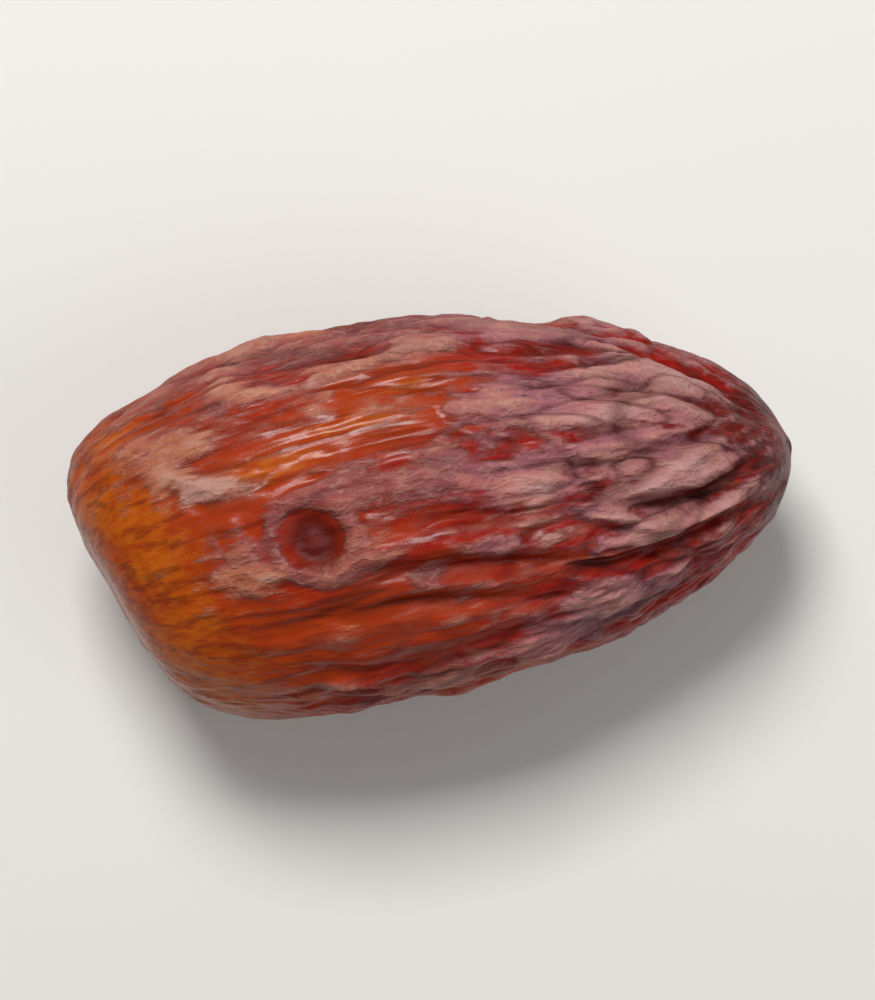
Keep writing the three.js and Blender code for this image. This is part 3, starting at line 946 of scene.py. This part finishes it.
# %% [markdown]
# ## Colour in layers
#
# The colours lie over each other as on the fruit: the flesh first, then its veins, the lifted skin, its haze,
# the pinched tops, the dust, which is also a painted highlight on the welts and raised relief, and last the
# furrows and hollows painted dark as shade together with the tip's dot, the sunken spot and the woody scar.
# None of them hides all that is under it.

# %% Base colour
FLESH_STOPS = [(0.0, "dark flesh"), (0.26, "crimson"), (0.5, "rust"), (0.8, "amber"), (1.0, "gold")]
LIFTED_STOPS = [(0.0, "grey mauve"), (0.4, "mauve"), (0.75, "beige"), (1.0, "whitish")]
MOST_HIDDEN = 0.92


def fill_ramp(socket, stops):
    """Give the ramp that a colour comes from these stops, each a place and a colour's name."""
    elements = socket.node.color_ramp.elements
    elements[0].position, elements[-1].position = stops[0][0], stops[-1][0]
    for place, _ in stops[1:-1]:
        elements.new(place)
    for element, (_, name) in zip(elements, stops):
        element.color = colour(name)
    return socket


skin = fill_ramp(node("ShaderNodeValToRGB", {"Fac": glowing}), FLESH_STOPS)
lifted_skin = fill_ramp(node("ShaderNodeValToRGB", {"Fac": whitened}), LIFTED_STOPS)
layers = [
    (share["vein"], colour("vein")),
    (share["lifted"], lifted_skin),
    (share["haze"], colour("haze")),
    (share["pinched"], colour("bloom")),
    # Dust, partly a painted highlight on the welts and raised tops.
    (share["dust_and_highlight"], colour("bloom")),
    # Painted shade in the furrows and hollows, with the tip's dot.
    (field["furrow_shade_and_tip_dot"], colour("furrow_shade_and_tip_dot")),
    (field["pit"], colour("pit")),
    (field["scar"], colour("scar")),
]
for over_share, over in layers:
    hidden = node("ShaderNodeMath", {0: over_share, 1: MOST_HIDDEN}, operation="MULTIPLY")
    skin = node("ShaderNodeMix", {"Factor": hidden, "A": skin, "B": over}, data_type="RGBA")
print(len(layers), "layers lie over the flesh")

# %% [markdown]
# ## Gloss, and relief too fine for the mesh
#
# Where the skin clings, its wax and the syrup under it give a clear gloss with small sharp lights.
# Where it has lifted it is dusty, so it is rougher and has no coat. Grain, crepe, crackle, veins,
# streaks and the rims of flakes are hundredths of a millimetre high. That is too fine for the mesh,
# so they are bumps, which only tilt the light. Where the flesh glows, the skin is stretched tight
# and its streaks are lower.

# %% Roughness, coat and bumps
GLOSS = {"clear": 0.2, "dull": 0.25, "grain": 0.16}
COAT = {"clear": 0.12, "dull": -0.12}
STRETCHED = {"From Min": 0.45, "From Max": 0.8, "To Min": 1.0, "To Max": 0.15}
BUMPS = {"grain": 0.012, "crackle": 0.05, "crepe": 0.05, "veins": 0.03, "streaks": 0.05, "flake": 0.012}

dull = node("ShaderNodeMath", {0: share["lifted"], 1: field["furrow_shade_and_tip_dot"]}, operation="MAXIMUM")
dull = node("ShaderNodeMath", {0: dull, 1: field["pit"]}, operation="MAXIMUM")
matt = node("ShaderNodeMath", {0: dull, 1: GLOSS["dull"], 2: GLOSS["clear"]}, operation="MULTIPLY_ADD")
grained = {0: pattern["grain"], 1: GLOSS["grain"], 2: matt}
roughness = node("ShaderNodeMath", grained, operation="MULTIPLY_ADD")
coated = {0: dull, 1: COAT["dull"], 2: COAT["clear"]}
coat = node("ShaderNodeMath", coated, operation="MULTIPLY_ADD", use_clamp=True)
low = node("ShaderNodeMapRange", {"Value": glowing, **STRETCHED}, interpolation_type="SMOOTHSTEP")
low_streaks = node("ShaderNodeMath", {0: pattern["streaks"], 1: low}, operation="MULTIPLY")
heights = {**pattern, **share, "streaks": low_streaks}
normal = {}
for name, tall in BUMPS.items():
    bump = {"Height": heights[name], "Strength": 1.0, "Distance": tall * MM, **normal}
    normal = {"Normal": node("ShaderNodeBump", bump)}
print("the highest bump is", max(BUMPS.values()), "mm")

# %% [markdown]
# ## Soft flesh under the skin
#
# The skin is a thin waxy film over soft, sticky, translucent flesh. Light goes in and comes out a
# millimetre or so away, warmer and redder, because red light gets the farthest. So the shader
# scatters light under the surface, and the dark folds keep a red glow instead of turning grey.

# %% Dried date skin
IOR = 1.45
SKIN = {"IOR": IOR, "Specular IOR Level": 0.2, "Coat Roughness": 0.2, "Coat IOR": IOR}
SCATTERED = {
    "Subsurface Weight": 0.25,
    "Subsurface Radius": (1.0, 0.35, 0.15),
    "Subsurface Scale": 0.9 * MM,
}

linked = {"Base Color": skin, "Roughness": roughness, "Coat Weight": coat, **normal}
shader = node("ShaderNodeBsdfPrincipled", {**linked, **SKIN, **SCATTERED})
node("ShaderNodeOutputMaterial", {"Surface": shader})
mesh.materials.append(material)
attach(date, "root")
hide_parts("date")
print("the skin has", len(tree.nodes), "nodes")

# %% [markdown]
# ## The stage
#
# A plain pale board under the fruit. It is painted matt, so it shows the soft shadow and no
# reflection, and the fruit's own colours are all there is to see.

# %% Floor
FLOOR_SIDE = 3.0
FLOOR_ROUGHNESS = 0.85

half_side = FLOOR_SIDE / 2
floor_level = float(BOX_LOW[2])
turns = ((-1, -1), (1, -1), (1, 1), (-1, 1))
floor_corners = [(x * half_side, y * half_side, floor_level) for x, y in turns]
floor_mesh = bpy.data.meshes.new("floor")
floor_mesh.from_pydata(floor_corners, [], [(0, 1, 2, 3)])
floor_material = bpy.data.materials.new("matt painted board")
floor_material.use_nodes = True
floor_shader = floor_material.node_tree.nodes["Principled BSDF"]
floor_shader.inputs["Base Color"].default_value = colour("floor")
floor_shader.inputs["Roughness"].default_value = FLOOR_ROUGHNESS
floor_mesh.materials.append(floor_material)
floor = bpy.data.objects.new("floor", floor_mesh)
bpy.context.scene.collection.objects.link(floor)
print("floor of", FLOOR_SIDE, "m at height", round(floor_level, 4))

# %% [markdown]
# ## Light
#
# One soft lamp stands high beyond the picture's upper edge, a little to the left. Its light comes
# down at a slope, so every fold has a bright side and a dark side. A larger and weaker lamp at the
# right keeps the shadows open, and the world adds a little light from everywhere. The roll turns
# the picture against the fruit's axes, so the lamps are placed in the picture's terms.

# %% Lamps and world
ROLL = math.radians(12)
PICTURE_RIGHT = np.array([math.cos(ROLL), -math.sin(ROLL), 0.0])
PICTURE_UP = np.array([math.sin(ROLL), math.cos(ROLL), 0.0])
UP = np.array([0.0, 0.0, 1.0])
TARGET = np.array([0.0, 0.0, float(BOX_HIGH[2]) / 2])
LAMPS = [
    {"name": "key", "right": -0.06, "up": 0.2, "high": 0.33, "side": 0.13, "power": 1.5},
    {"name": "fill", "right": 0.28, "up": -0.12, "high": 0.28, "side": 0.30, "power": 0.4},
]
WORLD_STRENGTH = 0.24


def place_lamp(numbers):
    """A square lamp at its place right, up and high in the picture's terms, aimed at the fruit."""
    data = bpy.data.lights.new(numbers["name"], "AREA")
    data.size = numbers["side"]
    data.energy = numbers["power"]
    lamp = bpy.data.objects.new(numbers["name"], data)
    where = numbers["right"] * PICTURE_RIGHT + numbers["up"] * PICTURE_UP + numbers["high"] * UP
    lamp.location = where
    lamp.rotation_euler = Vector(TARGET - where).to_track_quat("-Z", "Y").to_euler()
    bpy.context.scene.collection.objects.link(lamp)
    print(numbers["name"], "lamp", round(float(np.linalg.norm(TARGET - where)), 2), "m from the fruit")


for numbers in LAMPS:
    place_lamp(numbers)

world = bpy.data.worlds.new("soft studio")
world.use_nodes = True
background = world.node_tree.nodes["Background"]
background.inputs["Color"].default_value = colour("sky")
background.inputs["Strength"].default_value = WORLD_STRENGTH
bpy.context.scene.world = world
bpy.context.scene.view_settings.view_transform = "Standard"

# %% [markdown]
# ## Camera
#
# The photograph looks straight down, with the stem end at the left and the tip at the right and a
# little higher. A long lens high above gives the same flat view. The picture is 875 by 1000, and
# the fruit takes about four fifths of its width.

# %% Camera
PICTURE = (875, 1000)
LENS = 135.0
SENSOR = 36.0
FRUIT_SHARE = 0.82

view_width = float(BOX_HIGH[0] - BOX_LOW[0]) / FRUIT_SHARE
view_height = view_width * PICTURE[1] / PICTURE[0]
camera_data = bpy.data.cameras.new("camera")
camera_data.lens = LENS
camera_data.sensor_width = SENSOR
camera_data.sensor_fit = "VERTICAL"
camera_data.sensor_height = SENSOR
camera = bpy.data.objects.new("camera", camera_data)
camera_height = view_height * LENS / SENSOR + float(TARGET[2])
camera.location = (0, 0, camera_height)
camera.rotation_euler = (0, 0, -ROLL)
bpy.context.scene.collection.objects.link(camera)
bpy.context.scene.camera = camera
print("camera", round(camera_height, 3), "m up, and its picture is", round(view_width, 3), "m wide")
